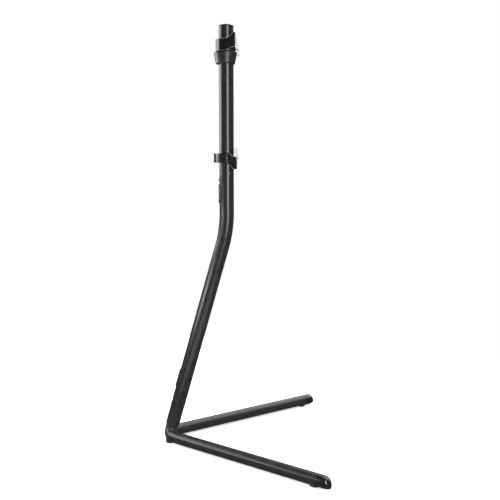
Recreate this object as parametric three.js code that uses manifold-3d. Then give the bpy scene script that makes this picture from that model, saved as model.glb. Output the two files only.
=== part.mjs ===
// Free-standing floor stand: a round mast that rises from a V-shaped base, leans forward and then
// stands upright, with a stop ring and two brackets that slide and swivel on its upright part.
// Millimetres, +Z up. The stand faces -Y, and X = 0 is its plane of symmetry.
import * as THREE from "three";
import { mergeVertices } from "three/addons/utils/BufferGeometryUtils.js";
import Module from "manifold-3d";

const wasm = await Module();
wasm.setup();

// ---------------------------------------------------------------- driving dimensions
const GAP = 0.3; // clearance between pieces that touch

const MAST_R = 25; // mast tube, outside
const MAST_WALL = 2;
const TUBE_TOP = 1443.2; // upper end of the mast tube
const STAND_HEIGHT = 1450; // top of the domed cap
const SEAM_Z = 952; // joint between the lower and the upper mast tube
const BEND_Z = 757; // where the leaning and the upright axis would meet
const BEND_R = 430; // radius of the bend's centre line
const LEAN = THREE.MathUtils.degToRad(15.8);
const HUB_SEAM = -656; // along the leaning axis from the bend: lower end of the mast tube

const LEG_R = 20;
const LEG_WALL = 2;
const LEG_AXIS_Z = 23;
const LEG_ANGLE = THREE.MathUtils.degToRad(35); // each leg to the plane of symmetry
const APEX_SETBACK = 33.5; // from the leaning axis back to where the two leg axes would meet
const ARM_END = 97; // along a leg axis from that meeting point: the hub's arm ends
const LEG_END = 656; // the leg tube ends and its cap begins
const REAR_FOOT_AT = 46;
const FRONT_FOOT_AT = 642;

const MAST_Y = 55.8; // puts the origin below the centre of the stand's outline on the floor
const APEX_Y = MAST_Y + (BEND_Z - LEG_AXIS_Z) * Math.tan(LEAN) + APEX_SETBACK;

const COLLAR_IN = 31.5; // both brackets' collars, inside
const BUSH_IN = MAST_R + 0.35;
const BUSH_OUT = COLLAR_IN - GAP;
const SEGMENTS = 28; // sides of a large round

// ---------------------------------------------------------------- solids and booleans
function solid(geometry) {
  const bare = geometry.clone();
  for (const name of Object.keys(bare.attributes)) {
    if (name !== "position") bare.deleteAttribute(name);
  }
  const merged = mergeVertices(bare, 1e-4);
  return new wasm.Manifold(new wasm.Mesh({
    numProp: 3,
    vertProperties: new Float32Array(merged.attributes.position.array),
    triVerts: new Uint32Array(merged.index.array),
  }));
}

function geometryOf(manifold) {
  const mesh = manifold.getMesh();
  const geometry = new THREE.BufferGeometry();
  geometry.setAttribute("position", new THREE.BufferAttribute(mesh.vertProperties, 3));
  geometry.setIndex(new THREE.BufferAttribute(mesh.triVerts, 1));
  return geometry;
}

function cut(body, ...tools) {
  return tools.reduce((left, tool) => left.subtract(tool), body);
}

function join(body, ...others) {
  return others.reduce((all, other) => all.add(other), body);
}

function shift(body, x, y, z) {
  return solid(geometryOf(body).translate(x, y, z));
}

// A box given by its lowest and highest corner.
function box([x0, y0, z0], [x1, y1, z1]) {
  const geometry = new THREE.BoxGeometry(x1 - x0, y1 - y0, z1 - z0);
  return solid(geometry.translate((x0 + x1) / 2, (y0 + y1) / 2, (z0 + z1) / 2));
}

// A solid of revolution about Z from [radius, z] points that start and end on the axis.
function turned(points, segments = SEGMENTS) {
  const profile = points.map(([r, z]) => new THREE.Vector2(r, z));
  return solid(new THREE.LatheGeometry(profile, segments).rotateX(Math.PI / 2));
}

function disc(r, z0, z1, segments = SEGMENTS) {
  return turned([[0, z0], [r, z0], [r, z1], [0, z1]], segments);
}

function tube(rIn, rOut, z0, z1, segments = SEGMENTS) {
  return cut(disc(rOut, z0, z1, segments), disc(rIn, z0 - 1, z1 + 1, segments));
}

// A rod of radius r along the unit vector `along`, from distance a to b past `start`.
function rod(start, along, a, b, r, segments = 16) {
  const geometry = new THREE.CylinderGeometry(r, r, b - a, segments);
  const turn = new THREE.Quaternion().setFromUnitVectors(
    new THREE.Vector3(0, 1, 0), along.clone().normalize());
  const middle = start.clone().addScaledVector(along, (a + b) / 2);
  return solid(geometry.applyMatrix4(
    new THREE.Matrix4().compose(middle, turn, new THREE.Vector3(1, 1, 1))));
}

// An outline drawn as [y, z] points, as deep along X as from x0 to x1.
function sideProfile(points, x0, x1) {
  const shape = new THREE.Shape(points.map(([y, z]) => new THREE.Vector2(y, z)));
  const geometry = new THREE.ExtrudeGeometry(shape, { depth: x1 - x0, bevelEnabled: false });
  const toWorld = new THREE.Matrix4().makeBasis(
    new THREE.Vector3(0, 1, 0), new THREE.Vector3(0, 0, 1), new THREE.Vector3(1, 0, 0));
  return solid(geometry.applyMatrix4(toWorld).translate(x0, 0, 0));
}

// A shape drawn in X and Z, extruded along Y from y0 to y1.
function frontProfile(shape, y0, y1, curveSegments = 4) {
  const geometry = new THREE.ExtrudeGeometry(
    shape, { depth: y1 - y0, bevelEnabled: false, curveSegments });
  const toWorld = new THREE.Matrix4().makeBasis(
    new THREE.Vector3(1, 0, 0), new THREE.Vector3(0, 0, 1), new THREE.Vector3(0, -1, 0));
  return solid(geometry.applyMatrix4(toWorld).translate(0, y1, 0));
}

function roundedRectangle(width, height, radius, centreZ) {
  const [x, top, low] = [width / 2, centreZ + height / 2, centreZ - height / 2];
  const shape = new THREE.Shape();
  shape.moveTo(x - radius, low);
  shape.absarc(x - radius, low + radius, radius, -Math.PI / 2, 0);
  shape.absarc(x - radius, top - radius, radius, 0, Math.PI / 2);
  shape.absarc(-x + radius, top - radius, radius, Math.PI / 2, Math.PI);
  shape.absarc(-x + radius, low + radius, radius, Math.PI, Math.PI * 1.5);
  return shape;
}

// The points of an arc about [cr, cz] in a [radius, z] profile, angles in degrees; `height` is its
// half axis along Z where it differs from r.
function arc(cr, cz, r, from, to, steps, height = r) {
  return Array.from({ length: steps + 1 }, (_, i) => {
    const angle = THREE.MathUtils.degToRad(from + (to - from) * i / steps);
    return [cr + r * Math.cos(angle), cz + height * Math.sin(angle)];
  });
}

// An outline of [a, b] corners; a corner [a, b, reach] becomes a curve that begins that far from it.
function eased(corners, steps = 4) {
  const places = corners.map(([a, b]) => new THREE.Vector2(a, b));
  return corners.flatMap(([a, b, reach], i) => {
    if (!reach) return [[a, b]];
    const [start, end] = [places.at(i - 1), places[(i + 1) % places.length]].map((next) =>
      places[i].clone().add(next.clone().sub(places[i]).setLength(reach)));
    return new THREE.QuadraticBezierCurve(start, places[i], end).getPoints(steps).map(({ x, y }) => [x, y]);
  });
}

// ---------------------------------------------------------------- finishes
function finish(color, roughness, metalness) {
  return { color, roughness, metalness };
}
const BLACK_COAT = finish(0x1d1e20, 0.42, 0.1); // satin powder coat on steel and castings
const BRACKET_COAT = finish(0x121213, 0.5, 0.1);
const BLACK_PLASTIC = finish(0x1a1a1c, 0.38, 0);
const MATT_PLASTIC = finish(0x232325, 0.6, 0);
const PALE_NYLON = finish(0xe2e3e2, 0.45, 0);
const BUSH_NYLON = finish(0x2a2a2c, 0.55, 0);
const RUBBER = finish(0x161616, 0.85, 0);
const ZINC = finish(0xa8aaac, 0.35, 0.9);
const BLACK_SCREW = finish(0x161617, 0.35, 0.7);

const stand = new THREE.Group();

function piece(parent, name, look, body) {
  const mesh = new THREE.Mesh(geometryOf(body), new THREE.MeshStandardMaterial(look));
  mesh.name = name;
  parent.add(mesh);
}

// Frames: pieces on the upright mast, on its leaning part, and on each leg.
const upright = new THREE.Group();
upright.position.set(0, MAST_Y, 0);
const leaning = new THREE.Group(); // +Z up along the leaning axis from the bend, +Y to the rear
leaning.position.set(0, MAST_Y, BEND_Z);
leaning.rotation.x = LEAN;
stand.add(upright, leaning);
const SIDES = [["left", -1], ["right", 1]];
const legFrames = SIDES.map(([, side]) => {
  const frame = new THREE.Group(); // -Y along the leg from the meeting point of the leg axes
  frame.position.set(0, APEX_Y, LEG_AXIS_Z);
  frame.rotation.z = side * LEG_ANGLE;
  stand.add(frame);
  return frame;
});

// ---------------------------------------------------------------- cable openings and covers
const COVER_LENGTH = 65;
const COVER_WIDTH = 36;
const COVER_PROUD = 2.6;
const SLOT_LENGTH = 46;
const SLOT_WIDTH = 20;
const UPPER_COVER_Z = 882.5;
const LOWER_COVER_AT = -555; // along the leaning axis from the bend

// The obround hole through the rear of the tube, as a prism along Y.
function cableSlot(centreZ) {
  const outline = roundedRectangle(SLOT_WIDTH, SLOT_LENGTH, SLOT_WIDTH / 2 - 0.01, centreZ);
  return frontProfile(outline, 10, 40, 3);
}

// A long oval lid that hugs the tube's rear, with a spring clip at each end of the slot.
function cableCover(centreZ) {
  const half = COVER_LENGTH / 2 + 5;
  const outline = roundedRectangle(
    COVER_WIDTH, COVER_LENGTH, COVER_WIDTH / 2 - 0.01, centreZ);
  const wrap = tube(
    MAST_R + GAP, MAST_R + COVER_PROUD, centreZ - half, centreZ + half, 48);
  const lid = wrap.intersect(frontProfile(outline, 5, 40));
  const clips = [-1, 1].map((end) => {
    const z = centreZ + end * (SLOT_LENGTH / 2 - 2.5);
    const [z0, z1] = [z - 1, z + 1];
    return box([-5, MAST_R - MAST_WALL - 4, z0], [5, MAST_R + 1, z1]);
  });
  return join(lid, ...clips);
}

// ---------------------------------------------------------------- mast
// A tube path given by its stations, so that the straight lengths need only two of them.
class StationPath extends THREE.Curve {
  constructor(stations) {
    super();
    this.stations = stations;
  }

  getSpacedPoints() {
    return this.stations.map(({ point }) => point);
  }

  computeFrenetFrames() {
    const binormal = new THREE.Vector3(1, 0, 0);
    return {
      tangents: this.stations.map(({ tangent }) => tangent),
      normals: this.stations.map(({ tangent }) => binormal.clone().cross(tangent)),
      binormals: this.stations.map(() => binormal),
    };
  }
}

// The lower tube's centre line in the upright frame: leaning, bend, upright.
function lowerMastPath() {
  const BEND_STEPS = 7;
  const station = (y, z, angle) => ({
    point: new THREE.Vector3(0, y, z),
    tangent: new THREE.Vector3(0, -Math.sin(angle), Math.cos(angle)),
  });
  const run = BEND_R * Math.tan(LEAN / 2); // from the bend point to where the arc begins
  const stations = [station(
    -HUB_SEAM * Math.sin(LEAN) - GAP * Math.sin(LEAN),
    BEND_Z + (HUB_SEAM + GAP) * Math.cos(LEAN), LEAN)];
  const arcTop = BEND_Z + run;
  for (let i = BEND_STEPS; i >= 0; i -= 1) {
    const angle = LEAN * i / BEND_STEPS;
    stations.push(station(
      BEND_R * (1 - Math.cos(angle)), arcTop - BEND_R * Math.sin(angle), angle));
  }
  stations.push(station(0, SEAM_Z - GAP / 2, 0));
  return new StationPath(stations);
}

function ring2d(rOut, rIn) {
  const shape = new THREE.Shape().absarc(0, 0, rOut, 0, Math.PI * 2);
  if (rIn) shape.holes.push(new THREE.Path().absarc(0, 0, rIn, 0, Math.PI * 2, true));
  return shape;
}

const JOINT_SCREW_Z = 930;
const SLEEVE = { low: 918, high: 1012, outer: MAST_R - MAST_WALL - GAP, wall: 3 };
const HUB_SCREWS_AT = [HUB_SEAM + 18, HUB_SEAM + 50];
const rear = new THREE.Vector3(0, 1, 0);

function buildMast() {
  const path = lowerMastPath();
  const lower = solid(new THREE.ExtrudeGeometry(ring2d(MAST_R, MAST_R - MAST_WALL), {
    steps: path.stations.length - 1, extrudePath: path, curveSegments: SEGMENTS / 2,
  }));
  const toLeaning = new THREE.Matrix4().compose(
    new THREE.Vector3(0, 0, BEND_Z), new THREE.Quaternion().setFromEuler(leaning.rotation),
    new THREE.Vector3(1, 1, 1));
  const inLeaning = (geometry) => solid(geometry.applyMatrix4(toLeaning));
  const holes = HUB_SCREWS_AT.map((z) => rod(new THREE.Vector3(0, 0, z), rear, 15, 40, 6.4));
  piece(upright, "mast_lower_tube", BLACK_COAT, cut(
    lower,
    cableSlot(UPPER_COVER_Z),
    inLeaning(geometryOf(cableSlot(LOWER_COVER_AT))),
    ...holes.map((hole) => inLeaning(geometryOf(hole))),
    rod(new THREE.Vector3(0, 0, JOINT_SCREW_Z), rear, 15, 40, 3.4)));

  piece(upright, "mast_upper_tube", BLACK_COAT,
    tube(MAST_R - MAST_WALL, MAST_R, SEAM_Z + GAP / 2, TUBE_TOP));

  piece(upright, "mast_joint_sleeve", ZINC, cut(
    tube(SLEEVE.outer - SLEEVE.wall, SLEEVE.outer, SLEEVE.low, SLEEVE.high),
    rod(new THREE.Vector3(0, 0, JOINT_SCREW_Z), rear, 10, 40, 3.4)));

  const screwBase = new THREE.Vector3(0, 0, JOINT_SCREW_Z);
  piece(upright, "mast_joint_screw", BLACK_SCREW, join(
    rod(screwBase, rear, MAST_R + 0.25, MAST_R + 2.3, 5.2),
    rod(screwBase, rear, MAST_R - 12, MAST_R + 1, 3)));
  piece(upright, "mast_joint_nut", ZINC, cut(
    rod(screwBase, rear, SLEEVE.outer - SLEEVE.wall - 5.8, SLEEVE.outer - SLEEVE.wall - 0.8, 5, 6),
    rod(screwBase, rear, 0, 30, 3.3)));

  const DOME_BASE = TUBE_TOP + GAP;
  const DOME_R = 66; // sphere that the cap's top is part of
  const rim = 23.6; // where the rounded shoulder meets the dome
  const domeCentre = STAND_HEIGHT - DOME_R;
  const edge = Math.asin(rim / DOME_R) * 180 / Math.PI;
  piece(upright, "top_cap", BLACK_PLASTIC, turned([
    [0, TUBE_TOP - 3], [20.4, TUBE_TOP - 3], [20.4, TUBE_TOP - 16],
    [MAST_R - MAST_WALL - GAP, TUBE_TOP - 16], [MAST_R - MAST_WALL - GAP, DOME_BASE],
    [MAST_R, DOME_BASE], [MAST_R, DOME_BASE + 0.9],
    ...arc(0, domeCentre, DOME_R, 90 - edge, 90, 4).slice(0, -1), [0, STAND_HEIGHT]]));

  piece(upright, "upper_cable_cover", MATT_PLASTIC, cableCover(UPPER_COVER_Z));
  piece(leaning, "lower_cable_cover", MATT_PLASTIC, cableCover(LOWER_COVER_AT));
}

// ---------------------------------------------------------------- base hub
const MAST_SPIGOT = 70;
const PAD_TOP_R = 15;
const REAR_PAD_TOP = 6.5; // above the floor: the hub's foot bosses start here
const LEG_SPIGOT = 60;
const LEG_SCREWS_AT = [ARM_END + 16, ARM_END + 44];
const down = new THREE.Vector3(0, 0, -1);

// One arm's centre line: down out of the mast's foot, round a bend, and out along the leg.
function armPath(side) {
  const out = new THREE.Vector3(side * Math.sin(LEG_ANGLE), -Math.cos(LEG_ANGLE), 0);
  const apex = new THREE.Vector3(0, APEX_Y, LEG_AXIS_Z);
  const axisUp = new THREE.Vector3(0, -Math.sin(LEAN), Math.cos(LEAN));
  const TOP_Z = 104;
  const BEND_END = 82; // along the leg axis
  const [PULL_DOWN, PULL_OUT] = [76, 58]; // lengths of the bend's handles
  const top = new THREE.Vector3(
    side * 4, MAST_Y + (BEND_Z - TOP_Z) * Math.tan(LEAN), TOP_Z);
  const bendEnd = apex.clone().addScaledVector(out, BEND_END);
  const path = new THREE.CurvePath();
  path.add(new THREE.CubicBezierCurve3(
    top, top.clone().addScaledVector(axisUp, -PULL_DOWN),
    bendEnd.clone().addScaledVector(out, -PULL_OUT), bendEnd));
  path.add(new THREE.LineCurve3(bendEnd, apex.clone().addScaledVector(out, ARM_END)));
  return path;
}

function buildHub() {
  const lean = new THREE.Matrix4().compose(
    new THREE.Vector3(0, MAST_Y, BEND_Z),
    new THREE.Quaternion().setFromEuler(leaning.rotation), new THREE.Vector3(1, 1, 1));
  const leaned = (body) => solid(geometryOf(body).applyMatrix4(lean));
  const KNUCKLE_AT = -720; // centre of the rounded lower end of the mast socket
  const knuckle = new THREE.SphereGeometry(MAST_R, SEGMENTS, 10)
    .rotateX(Math.PI / 2).translate(0, 0, KNUCKLE_AT);
  let hub = join(
    leaned(disc(MAST_R, KNUCKLE_AT, HUB_SEAM)), leaned(solid(knuckle)),
    leaned(disc(MAST_R - MAST_WALL - GAP, HUB_SEAM - 5, HUB_SEAM + MAST_SPIGOT)));
  for (const [index, [, side]] of SIDES.entries()) {
    const arm = solid(new THREE.ExtrudeGeometry(ring2d(LEG_R), {
      steps: 10, extrudePath: armPath(side), curveSegments: SEGMENTS / 2,
    }));
    legFrames[index].updateMatrix();
    const local = legFrames[index].matrix;
    const along = new THREE.Vector3(0, -1, 0);
    const origin = new THREE.Vector3();
    const placed = (body) => solid(geometryOf(body).applyMatrix4(local));
    const spigot = placed(rod(
      origin, along, ARM_END - 5, ARM_END + LEG_SPIGOT, LEG_R - LEG_WALL - GAP, SEGMENTS));
    const padSeat = REAR_PAD_TOP + GAP - LEG_AXIS_Z;
    const boss = disc(PAD_TOP_R - 0.5, padSeat, 0, 24);
    const padRoom = disc(PAD_TOP_R + 0.5, -LEG_AXIS_Z - 1, padSeat, 24);
    hub = join(hub, arm, spigot, placed(shift(boss, 0, -REAR_FOOT_AT, 0)));
    const holes = LEG_SCREWS_AT.map((t) =>
      rod(new THREE.Vector3(0, -t, 0), down, 4, LEG_R + 4, 3.3));
    holes.push(rod(new THREE.Vector3(0, -REAR_FOOT_AT, 0), down, 8, LEG_R + 4, 2.5));
    holes.push(shift(padRoom, 0, -REAR_FOOT_AT, 0));
    hub = cut(hub, ...holes.map(placed));
  }
  const screwHoles = HUB_SCREWS_AT.map((z) =>
    leaned(rod(new THREE.Vector3(0, 0, z), rear, 6, 40, 3.3)));
  hub = cut(hub, ...screwHoles);
  piece(stand, "base_hub", BLACK_COAT, hub);

  for (const [index, z] of HUB_SCREWS_AT.entries()) {
    piece(leaning, `hub_mast_screw_${index + 1}`, BLACK_SCREW, join(
      rod(new THREE.Vector3(0, 0, z), rear, 23, 24.2, 6),
      rod(new THREE.Vector3(0, 0, z), rear, 7, 23.5, 3)));
  }
}

// ---------------------------------------------------------------- legs and feet
const PAD_FOOT_R = 12.5;
const FRONT_PAD_TOP = 9.5; // above the floor, where the pad's rim clasps the tube

// A round rubber pad about Z, with a countersunk hole; `top` is its height.
function footPad(top) {
  const floor = -LEG_AXIS_Z;
  const body = turned([
    [0, floor], [PAD_FOOT_R, floor], [PAD_TOP_R, floor + 3], [PAD_TOP_R, floor + top],
    [0, floor + top]], 20);
  return cut(body, disc(4.4, floor - 1, floor + 1.3, 16), disc(2.5, floor - 1, floor + top + 1, 16));
}

function footScrew() {
  const floor = -LEG_AXIS_Z;
  return join(disc(4, floor + 0.2, floor + 1, 16), disc(2.1, floor + 0.6, floor + 11, 12));
}

const TOE_AT = 677; // along the leg axis: the cap's nose begins
const TOE_LENGTH = 24;
const TOE_SINK = 0.75; // how far each section of the nose sinks, for each mm of radius it loses

// A hollow plug of radius `plug`, then a cap whose nose runs down towards the floor.
function legEndCap(plug) {
  const PLUG_LENGTH = 10;
  const upright = turned([
    [0, LEG_END - 2], [plug - 2, LEG_END - 2], [plug - 2, LEG_END - PLUG_LENGTH],
    [plug, LEG_END - PLUG_LENGTH], [plug, LEG_END], [LEG_R, LEG_END],
    ...arc(0, TOE_AT, LEG_R, 0, 90, 7, TOE_LENGTH)], 24);
  const geometry = geometryOf(upright).rotateX(Math.PI / 2);
  const places = geometry.getAttribute("position");
  for (let i = 0; i < places.count; i += 1) {
    const lost = LEG_R - Math.hypot(places.getX(i), places.getZ(i));
    if (-places.getY(i) > TOE_AT) places.setZ(i, places.getZ(i) - TOE_SINK * lost);
  }
  return solid(geometry);
}

function buildLegs() {
  const along = new THREE.Vector3(0, -1, 0);
  const origin = new THREE.Vector3();
  for (const [index, [side]] of SIDES.entries()) {
    const frame = legFrames[index];
    const inner = LEG_R - LEG_WALL;
    const holes = LEG_SCREWS_AT.map((t) =>
      rod(new THREE.Vector3(0, -t, 0), down, 10, LEG_R + 4, 5.9));
    piece(frame, `${side}_leg_tube`, BLACK_COAT, cut(
      rod(origin, along, ARM_END + GAP, LEG_END - GAP, LEG_R, SEGMENTS),
      rod(origin, along, ARM_END - 1, LEG_END + 1, inner, SEGMENTS),
      ...holes, rod(new THREE.Vector3(0, -FRONT_FOOT_AT, 0), down, 10, LEG_R + 4, 2.5)));

    for (const [number, t] of LEG_SCREWS_AT.entries()) {
      piece(frame, `${side}_leg_joint_screw_${number + 1}`, BLACK_SCREW, join(
        rod(new THREE.Vector3(0, -t, 0), down, 18, 19.1, 5.5),
        rod(new THREE.Vector3(0, -t, 0), down, 5, 18.5, 3)));
    }

    piece(frame, `${side}_leg_end_cap`, BLACK_PLASTIC, legEndCap(inner - GAP));

    const saddle = rod(origin, along, -30, 30, LEG_R + GAP, 48);
    const pads = { rear: footPad(REAR_PAD_TOP), front: cut(footPad(FRONT_PAD_TOP), saddle) };
    for (const [place, t] of [["rear", REAR_FOOT_AT], ["front", FRONT_FOOT_AT]]) {
      piece(frame, `${side}_${place}_foot_pad`, RUBBER, shift(pads[place], 0, -t, 0));
      piece(frame, `${side}_${place}_foot_screw`, BLACK_SCREW, shift(footScrew(), 0, -t, 0));
    }
  }
}

// ---------------------------------------------------------------- stop ring
const RING = {
  low: 1319, rim: 1356, shoulder: 1357.8, seatLow: 1360, domeLow: 1361.5, domeTop: 1369.8, seatTop: 1376.5,
  lowR: 33, rimR: 39.2, shoulderR: 35.6, seatR: 31.2, seatTopR: 27.3, offset: 2.6, slot: 3,
};
const RING_SCREW = { y: 31.4, z: 1336, pocketX: 9, headR: 4.3, shankR: 2.5 };

function buildStopRing() {
  const body = turned([
    [0, RING.low], [RING.lowR - 2.5, RING.low], [RING.lowR - 0.7, RING.low + 0.8],
    [RING.lowR, RING.low + 2.6], [RING.rimR, RING.rim - 2], [RING.rimR - 0.6, RING.rim],
    [RING.rimR - 2.4, RING.rim + 1.2], [0, RING.rim + 1.2]], 40);
  const DOME_END = 60; // degrees of arc in the domed seat
  const domeR = (RING.seatR - RING.seatTopR) / (1 - Math.cos(DOME_END * Math.PI / 180));
  const domeHeight = (RING.domeTop - RING.domeLow) / Math.sin(DOME_END * Math.PI / 180);
  const seat = turned([
    [0, RING.rim], [RING.shoulderR, RING.rim], [RING.shoulderR, RING.shoulder],
    [RING.seatR, RING.seatLow],
    ...arc(RING.seatR - domeR, RING.domeLow, domeR, 0, DOME_END, 5, domeHeight),
    [RING.seatTopR, RING.seatTop], [0, RING.seatTop]], 40);
  const along = new THREE.Vector3(1, 0, 0);
  const screwAt = new THREE.Vector3(0, RING_SCREW.y, RING_SCREW.z);
  piece(upright, "stop_ring", MATT_PLASTIC, cut(
    join(shift(body, 0, RING.offset, 0), seat),
    disc(MAST_R + GAP, RING.low - 1, RING.seatTop + 1, 40),
    box([-RING.slot / 2, 0, RING.low - 1], [RING.slot / 2, 60, RING.seatTop + 1]),
    rod(screwAt, along, -15, 20, RING_SCREW.shankR + GAP),
    rod(screwAt, along, RING_SCREW.pocketX, 45, RING_SCREW.headR + 0.5)));
  const head = RING_SCREW.pocketX + GAP;
  piece(upright, "stop_ring_screw", BLACK_SCREW, cut(
    join(rod(screwAt, along, head, head + 5, RING_SCREW.headR),
      rod(screwAt, along, -14, head + 1, RING_SCREW.shankR)),
    rod(screwAt, along, head + 2.4, head + 6, 2.2, 6)));
}

// ---------------------------------------------------------------- brackets
const PLATE_THICK = 4;
const ARM_OUT = 35; // outside faces of a bracket's arms from the plane of symmetry
const HOLE_X = 26;
const HOLE_Z = 11;
const HOLE_R = 4;
const LIP_HALF_WIDTH = 20;
const LIP_SEAT = 0.6; // depth of the upper plate's seat for its lip
const LIP_SCREW_Z = { upper: 1386, lower: 1003 };

// A front plate as wide as the arms; its front face is at y = -front.
function frontPlate(front, low, high) {
  const shape = roundedRectangle(2 * ARM_OUT, high - low, 1.5, (low + high) / 2);
  return frontProfile(shape, -front, -front + PLATE_THICK, 5);
}

// Cutters for a plate's four bolt holes.
function plateHoles(front, low, high) {
  const middle = (low + high) / 2;
  return [-HOLE_X, HOLE_X].flatMap((x) => [-HOLE_Z, HOLE_Z].map((z) => rod(
    new THREE.Vector3(x, 0, middle + z), rear, -front - 1, -front + PLATE_THICK + 1, HOLE_R)));
}

// A nylon bush, open at the front, that lines a collar.
function bush(low, high) {
  return cut(tube(BUSH_IN, BUSH_OUT, low, high, 40), box([-40, -60, low - 1], [40, -18, high + 1]));
}

const UPPER = { front: 31.8, collarLow: 1360.5, collarHigh: 1399.5, plateLow: 1370.5, plateHigh: 1418.5 };

function buildUpperBracket() {
  const { front, collarLow, collarHigh, plateLow, plateHigh } = UPPER;
  const [low, high] = [collarLow - 10, plateHigh + 10];
  const inside = front - PLATE_THICK;
  const outer = join(
    disc(ARM_OUT, low, high, 40), box([-ARM_OUT, -front, low], [ARM_OUT, 0, high]));
  const inner = join(
    disc(COLLAR_IN, low - 1, high + 1, 40),
    box([-COLLAR_IN, -inside, low - 1], [COLLAR_IN, 0, high + 1]));
  const trimmed = cut(outer.intersect(box([-50, -front, low], [50, 50, high])), inner);
  const silhouette = sideProfile(eased([
    [50, collarLow], [-4, collarLow, 6], [-21.5, plateLow, 6], [-front, plateLow],
    [-front, plateHigh], [-25.5, plateHigh, 3], [-6, collarHigh, 7], [50, collarHigh]]), -60, 60);
  piece(upright, "upper_bracket", BRACKET_COAT, cut(
    join(trimmed.intersect(silhouette), frontPlate(front, plateLow, plateHigh)),
    ...plateHoles(front, plateLow, plateHigh),
    box([-LIP_HALF_WIDTH - GAP, -front - 1, low], [LIP_HALF_WIDTH + GAP, -front + LIP_SEAT, high]),
    rod(new THREE.Vector3(0, 0, LIP_SCREW_Z.upper), rear, -40, 0, 2.3)));

  piece(upright, "upper_bush", BUSH_NYLON, bush(RING.seatTop + GAP, collarHigh - 0.5));

  // Pale lip that flares out in front of the plate and clears the stop ring below it.
  const skin = -(front - LIP_SEAT + GAP);
  piece(upright, "upper_guide_lip", PALE_NYLON, cut(
    sideProfile(eased([
      [skin, 1417.5], [-33.4, 1417.5], [-43.7, 1374, 10], [-43.7, 1346.5, 3], [-38.4, 1346.5, 1.5],
      [-38.4, 1361, 3], [skin, 1369.5]]), -LIP_HALF_WIDTH, LIP_HALF_WIDTH),
    rod(new THREE.Vector3(0, 0, LIP_SCREW_Z.upper), rear, -60, -37, 4.4),
    rod(new THREE.Vector3(0, 0, LIP_SCREW_Z.upper), rear, -60, 0, 2.3)));
  piece(upright, "upper_lip_screw", BLACK_SCREW, lipScrew(LIP_SCREW_Z.upper, 39.5, 29.5));
}

// A small screw pointing to the rear: its head's face at y = -face, its tip at y = -tip.
function lipScrew(z, face, tip) {
  const at = new THREE.Vector3(0, 0, z);
  return join(rod(at, rear, -face, -face + 2, 3.9), rod(at, rear, -face + 1, -tip, 2));
}

const LOWER = {
  front: 35.5, plateLow: 966, plateHigh: 1009, collarLow: 988.5, collarHigh: 1019.5,
  shellOut: 39, block: 43.5, lugEnd: 8, overlap: 6,
};
const SIDE_SCREW = { y: 1, z: 1004, headR: 4.6 };
const CLAMP_SCREW_R = 4;

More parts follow.
